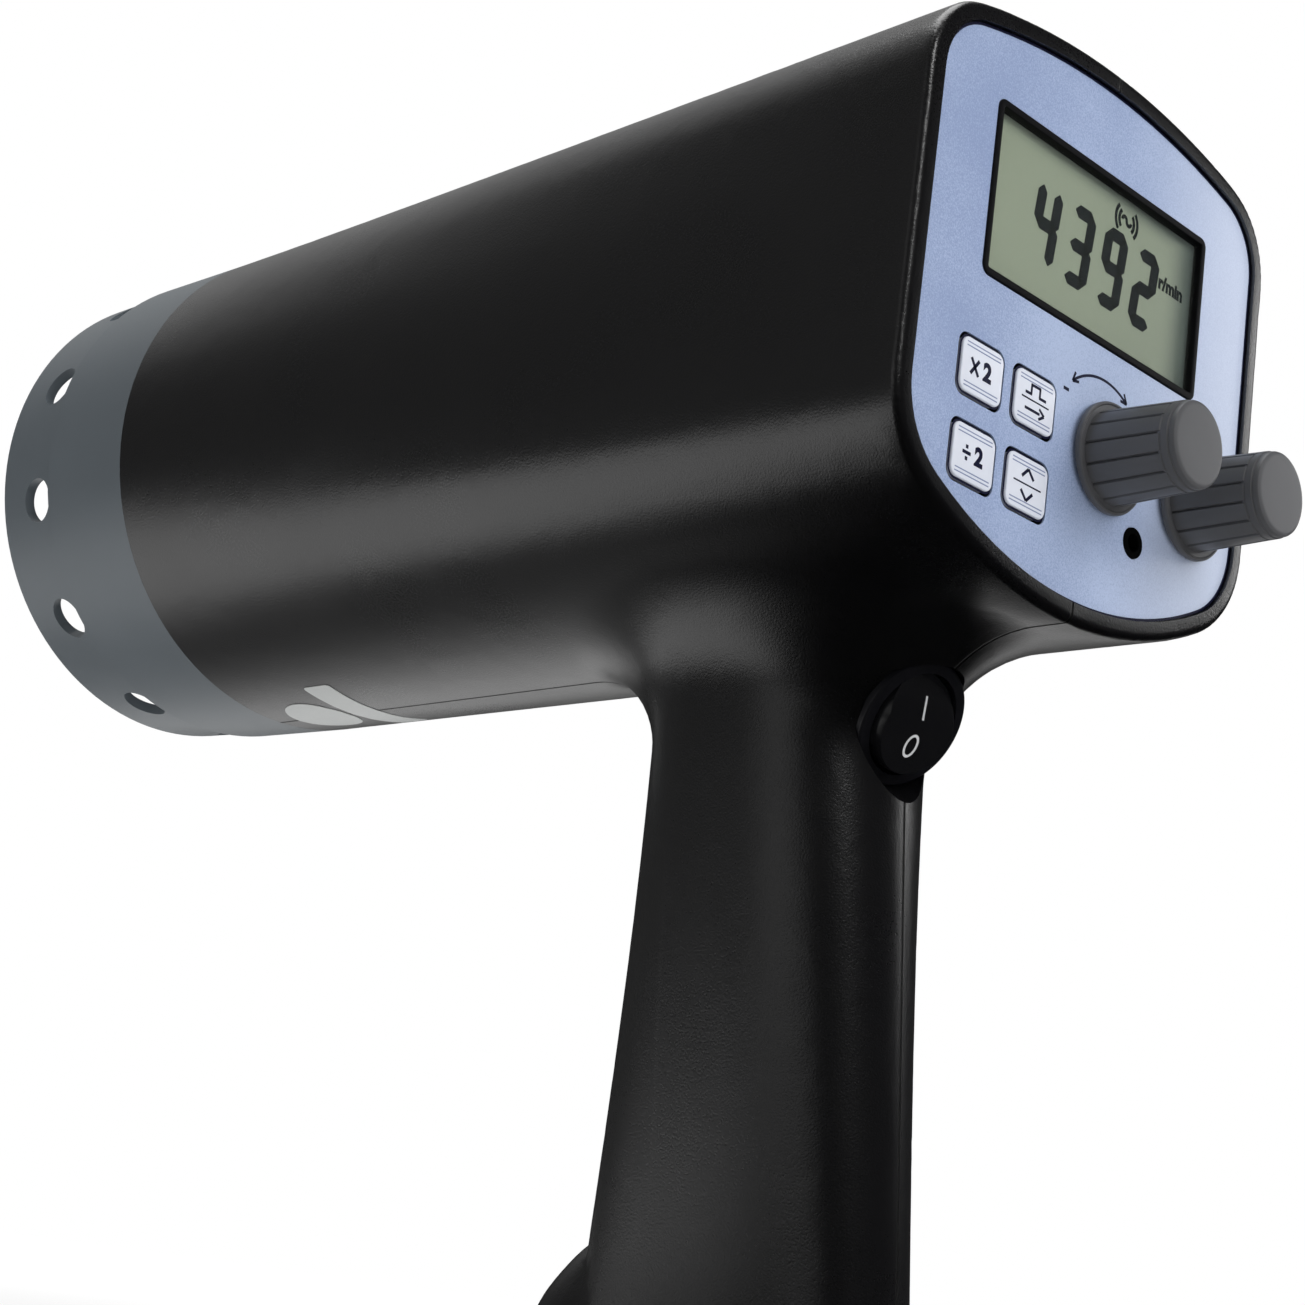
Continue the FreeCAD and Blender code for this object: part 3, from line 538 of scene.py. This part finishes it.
# Seven-segment numerals, a wave sign and a unit on the liquid crystal glass
numerals = {"text": "4392", "left": 20.9, "foot": 213.0, "pitch": 11.05, "width": 7.9,
            "height": 17.0, "stroke": 2.75, "gap": 0.14, "overlap": 0.45, "point": 0.46,
            "lean": 0.115}
segmentsLit = {"4": "bcfg", "3": "abcdg", "9": "abcdfg", "2": "abdeg"}
displaySigns = {"stroke": 0.78, "waveAt": (-9.5, 233.0), "wave": 0.75, "waveSteps": 8,
                "rings": (2.5, 3.7), "ringSweep": 1.5, "ringSteps": 10,
                "unit": "r/min", "unitAt": (-26.2, 225.3), "unitSize": 4.0, "unitWeight": 0.045}
segmentInk = {"depth": 0.05, "sunk": 0.02}


def onGlass(name, bm, y, z):
    place = onPanel(y, z, -display["glass"][0] + segmentInk["sunk"])
    printed(name, bm, segmentInk["depth"], place, "housing", "segmentInk")


def makeNumerals():
    bm = bmesh.new()
    width, height, stroke = numerals["width"], numerals["height"], numerals["stroke"]
    half = stroke / 2
    left, right = half, width - half
    low, middle, high = half, height / 2, height - half
    segments = {"a": ((left, high), (right, high)), "b": ((right, middle), (right, high)),
                "c": ((right, low), (right, middle)), "d": ((left, low), (right, low)),
                "e": ((left, low), (left, middle)), "f": ((left, middle), (left, high)),
                "g": ((left, middle), (right, middle))}
    for index, numeral in enumerate(numerals["text"]):
        shift = Vector((index * numerals["pitch"], 0))
        for name in segmentsLit[numeral]:
            start, end = (Vector(point) + shift for point in segments[name])
            trim = (end - start).normalized() * (numerals["gap"] - half * numerals["overlap"])
            bar(bm, start + trim, end - trim, stroke, numerals["point"])
    lean = Matrix.Identity(4)
    lean[0][1] = numerals["lean"]
    bmesh.ops.transform(bm, matrix=lean, verts=bm.verts)
    onGlass("displayNumerals", bm, numerals["left"], numerals["foot"])


def makeDisplaySigns():
    stroke, wave, sweep = displaySigns["stroke"], displaySigns["wave"], displaySigns["ringSweep"]
    bm = bmesh.new()
    for side in (0, math.pi):
        for radius in displaySigns["rings"]:
            arcBand(bm, (0, 0), radius, stroke, side - sweep / 2, sweep, displaySigns["ringSteps"])
    for middle, start in ((-wave, 0.0), (wave, math.pi)):
        arcBand(bm, (middle, 0), wave, stroke, start, math.pi, displaySigns["waveSteps"])
    onGlass("displayWave", bm, *displaySigns["waveAt"])
    bm = bmesh.new()
    letters(bm, displaySigns["unit"], (0, 0), displaySigns["unitSize"], displaySigns["unitWeight"])
    onGlass("displayUnit", bm, *displaySigns["unitAt"])
    print("stage: display drawn")


makeNumerals()
makeDisplaySigns()


# The flat part of a node that looks one way
def flatOf(node, way):
    bm = bmesh.new()
    bm.from_mesh(frame["nodes"][node].data)
    bmesh.ops.remove_doubles(bm, verts=bm.verts, dist=weldGap)
    bm.normal_update()
    others = [face for face in bm.faces if face.normal.dot(way) < 0.99]
    bmesh.ops.delete(bm, geom=others, context="FACES")
    return bm


# The line printed round the panel's film
panelEdge = {"width": 0.5, "lift": 0.03}


def makePanelEdge():
    bm = flatOf("panel_overlay", rearward)
    widest = max(abs(vert.co.y) for vert in bm.verts) - 0.01 * mm
    start = next(edge for edge in bm.edges
                 if edge.is_boundary and max(abs(vert.co.y) for vert in edge.verts) > widest)
    outer, queue = {start}, [start]
    while queue:
        for vert in queue.pop().verts:
            for other in vert.link_edges:
                if other.is_boundary and other not in outer:
                    outer.add(other)
                    queue.append(other)
    keep = {vert for edge in outer for vert in edge.verts}
    bmesh.ops.delete(bm, geom=bm.faces[:], context="FACES_ONLY")
    bmesh.ops.delete(bm, geom=[edge for edge in bm.edges if edge not in outer],
                     context="EDGES_FACES")
    bmesh.ops.delete(bm, geom=[vert for vert in bm.verts if vert not in keep], context="VERTS")
    bmesh.ops.contextual_create(bm, geom=bm.edges[:])
    bm.normal_update()
    hollowOut(bm, panelEdge["width"] * mm)
    thicken(bm, panelEdge["lift"] * mm, rearward)
    finished("panelEdgeLine", bm, inPlace, "housing", "printInk")


makePanelEdge()

# The arrow over the upper knob, with a minus and a plus at its ends
turnArrow = {"centre": (-4.9, 182.1), "radius": 15.6, "from": 60, "to": 130, "steps": 24,
             "width": 0.55, "head": 2.1, "headAngle": 0.5, "depth": 0.03,
             "signs": (((-12.6, 9.7), (-10.9, 9.7), 0.65), ((12.9, 8.2), (14.5, 8.2), 0.6),
                       ((13.7, 7.4), (13.7, 9.0), 0.6))}


def makeTurnArrow():
    bm = bmesh.new()
    radius, width, spread = turnArrow["radius"], turnArrow["width"], turnArrow["headAngle"]
    first, last = math.radians(turnArrow["from"]), math.radians(turnArrow["to"])
    arcBand(bm, (0, 0), radius, width, first, last - first, turnArrow["steps"])
    for angle, way in ((first, -1), (last, 1)):
        tip = Vector((radius * math.cos(angle), radius * math.sin(angle)))
        back = Vector((math.sin(angle), -math.cos(angle))) * way
        for side in (-1, 1):
            arm = back * math.cos(spread) + tip.normalized() * math.sin(spread) * side
            bar(bm, tip, tip + arm * turnArrow["head"], width)
    bars(bm, turnArrow["signs"])
    printed("speedArrow", bm, turnArrow["depth"], onPanel(*turnArrow["centre"]), "housing",
            "printInk")
    print("stage: panel printed")


makeTurnArrow()

# Four keys: a cap that moves, with its sign and fine lines, and a dark ring on the film round it,
# partly the film's printed outline and partly painted shade of the gap round the cap
keyForm = {"size": (12.1, 10.2), "corner": 1.8, "stand": 0.5, "skirt": 1.5, "round": 0.3,
           "crease": 35, "outline": 0.45, "tuck": 0.3, "lines": (3.4, 4.1), "lineHalf": 5.0,
           "lineWidth": 0.22, "inkDepth": 0.03, "numeralSize": 4.7, "numeralWeight": 0.05}
keySigns = {
    "key_times_two": {
        "body": "times_two_key", "at": (32.7, 185.5), "numeral": ("2", (1.45, 0)),
        "strokes": (((-3.4, -1.5), (-1.1, 1.5), 0.68), ((-3.4, 1.5), (-1.1, -1.5), 0.68))},
    "key_divide_two": {
        "body": "divide_two_key", "at": (32.7, 169.4), "numeral": ("2", (1.45, 0)),
        "strokes": (((-3.3, 0), (-0.9, 0), 0.66), ((-2.45, 1.1), (-1.75, 1.1), 0.7),
                    ((-2.45, -1.1), (-1.75, -1.1), 0.7))},
    "key_trigger": {
        "body": "trigger_key", "at": (16.5, 185.5),
        "strokes": (((-4.2, 0), (4.2, 0), 0.3), ((-3.2, 1.1), (-1.2, 1.1), 0.55),
                    ((-1.4, 1.1), (-1.4, 3.0), 0.55), ((-1.6, 2.9), (1.4, 2.9), 0.55),
                    ((1.2, 3.0), (1.2, 1.1), 0.55), ((1.0, 1.1), (3.2, 1.1), 0.55),
                    ((-3.0, -1.9), (1.6, -1.9), 0.55), ((3.0, -1.9), (1.4, -0.9), 0.55),
                    ((3.0, -1.9), (1.4, -2.9), 0.55))},
    "key_range": {
        "body": "range_key", "at": (16.5, 169.4),
        "strokes": (((-4.2, 0), (4.2, 0), 0.3), ((0, 3.0), (1.8, 1.3), 0.62),
                    ((0, 3.0), (-1.8, 1.3), 0.62), ((0, -3.0), (1.8, -1.3), 0.62),
                    ((0, -3.0), (-1.8, -1.3), 0.62))}}


def makeKey(node, values):
    width, height = keyForm["size"]
    corner, stand, outline = keyForm["corner"], keyForm["stand"], keyForm["outline"]
    body, depth = values["body"], keyForm["inkDepth"]
    foot, face = onPanel(*values["at"]), onPanel(*values["at"], stand)
    cap = bmesh.new()
    roundRect(cap, width, height, corner)
    slab(cap, -keyForm["skirt"], stand)
    roundTop(cap, stand, keyForm["round"])
    piece = finished(node + "_cap", scaled(cap), foot, body, "keyFilm", keyForm["crease"])
    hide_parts(node)
    # The dark ring is partly a printed outline and partly painted shade of the gap between the cap
    # and the film
    ring = bmesh.new()
    roundRect(ring, width + 2 * outline, height + 2 * outline, corner + outline)
    hollowOut(ring, outline + keyForm["tuck"])
    printed(node + "_outline", ring, depth, foot, "housing", "printInk")
    sign = bmesh.new()
    bars(sign, values["strokes"])
    if "numeral" in values:
        letters(sign, *values["numeral"], keyForm["numeralSize"], keyForm["numeralWeight"])
    printed(node + "_sign", sign, depth, face, body, "printInk")
    lines = bmesh.new()
    half = keyForm["lineHalf"]
    bars(lines, [((-half, side * up), (half, side * up), keyForm["lineWidth"])
                 for side in (1, -1) for up in keyForm["lines"]])
    printed(node + "_lines", lines, depth, face, body, "fineInk")


def makeKeys():
    for node, values in keySigns.items():
        makeKey(node, values)
    print("stage: keys made")


makeKeys()

# The speed knobs: a lipped flange, a ribbed grip and a rounded cap
knobForm = {"ribs": 14, "perRib": 12, "foot": 9.15, "top": 8.55, "gripFrom": 1.7, "gripTo": 17.7,
            "groove": 0.55, "chamfer": 0.3, "steps": 96, "crease": 28,
            "flange": ((5.6, 0.65), (10.4, 0.6), (10.9, 0.9), (10.9, 1.7), (10.75, 1.98),
                       (10.4, 2.05), (10.15, 1.85), (5.6, 1.75)),
            "cap": ((0, 17.0), (8.35, 17.0), (8.35, 17.85), (8.55, 17.95), (8.5, 19.05),
                    (8.3, 19.2), (8.2, 19.3), (8.32, 19.42), (8.3, 20.1), (8.15, 20.45),
                    (7.85, 20.68), (7.5, 20.76), (7.1, 20.78), (3.0, 20.78), (0, 20.78))}
knobPlaces = {"fine": (-7.2, 182.5), "coarse": (-36.3, 182.5)}


def turnedPart(bm, profile, closed):
    verts = [bm.verts.new((radius, 0, height)) for radius, height in profile]
    pairs = list(zip(verts, verts[1:])) + ([(verts[-1], verts[0])] if closed else [])
    edges = [bm.edges.new(pair) for pair in pairs]
    bmesh.ops.spin(bm, geom=verts + edges, cent=(0, 0, 0), axis=(0, 0, 1), angle=2 * math.pi,
                   steps=knobForm["steps"], use_merge=True)


def outwardFrom(vert):
    return Vector((vert.co.x, vert.co.y, 0)).normalized()


def ribbedGrip(bm):
    ribs, count = knobForm["ribs"], knobForm["ribs"] * knobForm["perRib"]
    low, high, chamfer = knobForm["gripFrom"], knobForm["gripTo"], knobForm["chamfer"]
    ring = bmesh.ops.create_circle(bm, cap_ends=True, segments=count,
                                   radius=knobForm["foot"])["verts"]
    bmesh.ops.translate(bm, vec=(0, 0, low), verts=ring)
    face = next(face for face in bm.faces if len(face.verts) == count)
    for height, radius in ((high - chamfer, knobForm["top"]), (high, knobForm["top"] - chamfer)):
        grown = bmesh.ops.extrude_face_region(bm, geom=[face])["geom"]
        face = next(item for item in grown if isinstance(item, bmesh.types.BMFace))
        for vert in face.verts:
            vert.co = outwardFrom(vert) * radius + upward * height
    for vert in bm.verts:
        rib = math.atan2(vert.co.y, vert.co.x) * ribs / (2 * math.pi)
        if abs(rib - round(rib)) < 0.02 and vert.co.z < high - 0.01:
            vert.co -= outwardFrom(vert) * knobForm["groove"]


def makeKnobs():
    for name, (y, z) in knobPlaces.items():
        bm = bmesh.new()
        ribbedGrip(bm)
        turnedPart(bm, knobForm["flange"], True)
        turnedPart(bm, knobForm["cap"], False)
        bmesh.ops.remove_doubles(bm, verts=bm.verts, dist=0.001)
        bmesh.ops.recalc_face_normals(bm, faces=bm.faces[:])
        piece = finished(name + "KnobBody", scaled(bm), onPanel(y, z), name + "_speed_knob",
                         "knobPlastic", knobForm["crease"])
        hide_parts(name + "_knob", name + "_knob_cap")
    print("stage: knobs made")


makeKnobs()


def surfaceTree(node):
    shape = frame["nodes"][node].data
    return BVHTree.FromPolygons([vert.co for vert in shape.vertices],
                                [face.vertices[:] for face in shape.polygons])


# A bar and a ring on the rocker's dished face
switchMarks = {"seat": (-26.106, 0, 131.785), "slope": 29.4, "stroke": 0.55, "barAt": 3.9,
               "barLength": 4.4, "ringAt": -3.7, "ring": (3.5, 4.9), "ringSteps": 40,
               "depth": 0.04, "clear": 0.01}


def ovalRing(bm):
    arcBand(bm, (0, 0), 1.0, 0.3, 0, 2 * math.pi, switchMarks["ringSteps"])
    width, height = switchMarks["ring"]
    for vert in bm.verts:
        way = vert.co.normalized()
        shrink = switchMarks["stroke"] if vert.co.length < 1.0 else 0.0
        vert.co = (way.x * (width / 2 - shrink),
                   way.y * (height / 2 - shrink) + switchMarks["ringAt"], 0)


def makeSwitchMarks():
    slope = math.radians(switchMarks["slope"])
    out = Vector((-math.cos(slope), 0, -math.sin(slope)))
    up = Vector((-math.sin(slope), 0, math.cos(slope)))
    depth = switchMarks["depth"]
    bm = bmesh.new()
    ovalRing(bm)
    low, high = (switchMarks["barAt"] + side * switchMarks["barLength"] / 2 for side in (-1, 1))
    bar(bm, (0, low), (0, high), switchMarks["stroke"])
    thicken(bm, depth)
    raised = {vert for vert in bm.verts if vert.co.z > depth / 2}
    place = facing(Vector(switchMarks["seat"]) * mm, out, up)
    bmesh.ops.transform(bm, matrix=place @ Matrix.Scale(mm, 4), verts=bm.verts)
    tree = surfaceTree("switch_rocker")
    for vert in bm.verts:
        hit = tree.ray_cast(vert.co + out * 0.05, -out, 0.2)[0]
        vert.co = hit + out * (switchMarks["clear"] + (depth if vert in raised else 0.0)) * mm
    finished("switchMarks", bm, inPlace, "rocker", "paleInk")
    print("stage: switch marked")


makeSwitchMarks()

# Two blank labels wrapped round the underside of the barrel
labels = {"barrelRadius": 60.0, "thickness": 0.12, "clear": 0.02, "crease": 40,
          "strip": {"from": 135.6, "to": 145.0, "reach": 15.5, "corner": 1.2, "cuts": 15},
          "disc": {"middle": 156.0, "radius": 9.5, "segments": 48, "cuts": 11, "pitch": 1.6}}


def wrapUnder(bm, trees):
    axis = Vector((0, 0, axisZ))
    for vert in bm.verts:
        angle = vert.co.y / labels["barrelRadius"]
        down = Vector((0, math.sin(angle), -math.cos(angle)))
        start = axis + Vector((vert.co.x * mm, 0, 0)) + down * 0.1
        hits = [tree.ray_cast(start, -down, 0.08)[0] for tree in trees]
        point = max((hit for hit in hits if hit), key=lambda hit: (hit - axis).dot(down))
        vert.co = point + down * (labels["clear"] + vert.co.z) * mm


def wrappedLabel(name, bm, middle, cuts, pitch, trees):
    for index in range(cuts):
        place = (index - cuts // 2) * pitch
        bmesh.ops.bisect_plane(bm, geom=bm.verts[:] + bm.edges[:] + bm.faces[:],
                               plane_co=(0, place, 0), plane_no=(0, 1, 0))
    bmesh.ops.translate(bm, vec=(middle, 0, 0), verts=bm.verts)
    thicken(bm, labels["thickness"])
    wrapUnder(bm, trees)
    finished(name, bm, inPlace, "housing", "labelPaper", labels["crease"])


def makeLabels():
    strip, disc = labels["strip"], labels["disc"]
    trees = [surfaceTree("left_shell"), surfaceTree("right_shell")]
    bm = bmesh.new()
    width = 2 * labels["barrelRadius"] * math.radians(strip["reach"])
    roundRect(bm, strip["to"] - strip["from"], width, strip["corner"], 4)
    wrappedLabel("underLabelStrip", bm, (strip["from"] + strip["to"]) / 2, strip["cuts"],
                 width / (strip["cuts"] + 1), trees)
    bm = bmesh.new()
    bmesh.ops.create_circle(bm, cap_ends=True, segments=disc["segments"], radius=disc["radius"])
    wrappedLabel("underLabelDisc", bm, disc["middle"], disc["cuts"], disc["pitch"], trees)
    print("stage: labels placed")


makeLabels()

# The floor is pale and keeps the lamps' soft shadow; for what the body mirrors of it, the floor
# glows with a painted pool of light in front of the handle and a painted shadow of the barrel along
# it
floorForm = {"half": 6.0, "below": 0.2, "patch": 300, "pale": 0.84, "deep": 0.80, "rough": 0.9}
floorGlow = {"start": (0.06, 0.20), "end": (1.00, 1.60), "left": (0.055, 0.130),
             "right": (0.00, 0.18), "least": 0.11,
             "plain": 0.80, "shadow": (0.25, 0.60), "white": 1.07}


def floorPaper():
    paper = Finish("floorPaper", {"Roughness": floorForm["rough"]})
    speck = paper.noise(floorForm["patch"])
    paper.feed("Base Color", paper.tones(speck, (1, 1, 1), floorForm["deep"], floorForm["pale"]))
    camera = paper.node("ShaderNodeLightPath", output="Is Camera Ray")
    mirror, through = camera.beside("Is Glossy Ray"), camera.beside("Is Transmission Ray")
    across, side = paper.axes()[:2]
    reach = (across * across + side * side).power(0.5)
    away = across.rise(*floorGlow["start"]) * (1 - reach.rise(*floorGlow["end"]))
    outsidePaintedShadow = side.rise(*floorGlow["left"]).most((0 - side).rise(*floorGlow["right"]))
    least, plain, white = floorGlow["least"], floorGlow["plain"], floorGlow["white"]
    # Painted pool of light in front of the handle, with the barrel's painted shadow along it, seen
    # only by glossy rays
    paintedPool = away * (outsidePaintedShadow * (1 - least) + least)
    share = reach.rise(*floorGlow["shadow"]) * (1 - plain) + plain
    glow = paper.node("ShaderNodeEmission", sockets={"Strength": white - mirror * (white - paintedPool)})
    seen = (camera * share).most(mirror).most(through)
    paper.surface(paper.node("ShaderNodeMixShader", sockets={0: seen, 1: paper.shader, 2: glow}))
    return paper.material


def makeStage():
    bm = bmesh.new()
    square(bm, 2 * floorForm["half"], 2 * floorForm["half"])
    floor = addObject("floor", meshFrom("floor", bm))
    floor.location.z = -floorForm["below"] * mm
    floor.data.materials.append(floorPaper())


lamps = {
    "topBox": {"place": (0.1, 0.1, 1.4), "aim": (0.03, 0, 0.2), "size": 0.9, "power": 8.0},
    "panelBox": {"place": (-0.95, -0.35, 0.75), "aim": (-0.05, 0, 0.2), "size": 0.8, "power": 8.5,
                 "mirrored": False},
    "edgeBox": {"place": (-0.45, -1.06, 0.61), "aim": (-0.06, 0, 0.2), "size": 0.35, "power": 1.1},
    "rimBox": {"place": (-0.9, 0.55, 0.9), "aim": (-0.06, 0, 0.2), "size": 0.25, "power": 1.9},
}


def makeLamps():
    for name, values in lamps.items():
        light = bpy.data.lights.new(name, "AREA")
        light.shape = "RECTANGLE"
        light.size = light.size_y = values["size"]
        light.energy = values["power"]
        lamp = addObject(name, light)
        lamp.visible_glossy = values.get("mirrored", True)
        lamp.location = values["place"]
        way = Vector(values["aim"]) - Vector(values["place"])
        lamp.rotation_euler = way.to_track_quat("-Z", "Y").to_euler()


# The world lights softly, shows white behind the object, and is dark where surfaces mirror it, but
# for bright patches: the turn and lift to each, and the degrees off it where it is full and gone
backdrop = {"soft": 0.32, "mirrored": 0.03, "white": 1.0}
skyPatches = {
    "sideStrip": {"way": (86, 8), "full": 6, "gone": 20, "strength": 0.40},
    "wideWall": {"way": (40, 25), "full": 20, "gone": 75, "strength": 0.06},
    "overhead": {"way": (-14, 50), "full": 10, "gone": 40, "strength": 0.40}}


def makeWorld():
    world = bpy.data.worlds.new("studio")
    bpy.context.scene.world = world
    sky = Graph(world, "ShaderNodeOutputWorld")
    camera = sky.node("ShaderNodeLightPath", output="Is Camera Ray")
    mirror, through = camera.beside("Is Glossy Ray"), camera.beside("Is Transmission Ray")
    direction = sky.node("ShaderNodeTexCoord", output="Generated")
    mirrored = backdrop["mirrored"]
    for patch in skyPatches.values():
        turn, lift = (math.radians(angle) for angle in patch["way"])
        way = (math.cos(turn) * math.cos(lift), math.sin(turn) * math.cos(lift), math.sin(lift))
        near = sky.node("ShaderNodeVectorMath", {"operation": "DOT_PRODUCT"},
                        {0: direction, 1: way}, output="Value")
        gone, full = (math.cos(math.radians(patch[edge])) for edge in ("gone", "full"))
        mirrored = near.rise(gone, full, patch["strength"]) + mirrored
    level = sky.node("ShaderNodeMapRange", sockets={"Value": mirror, "To Min": backdrop["soft"],
                                                    "To Max": mirrored})
    soft = sky.node("ShaderNodeBackground", sockets={"Color": tint((1, 1, 1)), "Strength": level})
    white = sky.node("ShaderNodeBackground", sockets={"Color": tint((1, 1, 1)),
                                                      "Strength": backdrop["white"]})
    seen = camera.most(through)
    sky.surface(sky.node("ShaderNodeMixShader", sockets={0: seen, 1: soft, 2: white}))


view = {"place": (-0.32632, 0.36410, 0.01632), "turn": (104.722, -7.454, -136.327),
        "lens": 69.517, "sensor": 36.0, "nearest": 0.01}


def makeCamera():
    data = bpy.data.cameras.new("camera")
    data.lens = view["lens"]
    data.sensor_width = view["sensor"]
    data.clip_start = view["nearest"]
    camera = addObject("camera", data)
    camera.location = view["place"]
    camera.rotation_euler = [math.radians(angle) for angle in view["turn"]]
    bpy.context.scene.camera = camera


makeStage()
makeLamps()
makeWorld()
makeCamera()
bpy.context.scene.view_settings.view_transform = "Standard"
print("stage: light and camera set")
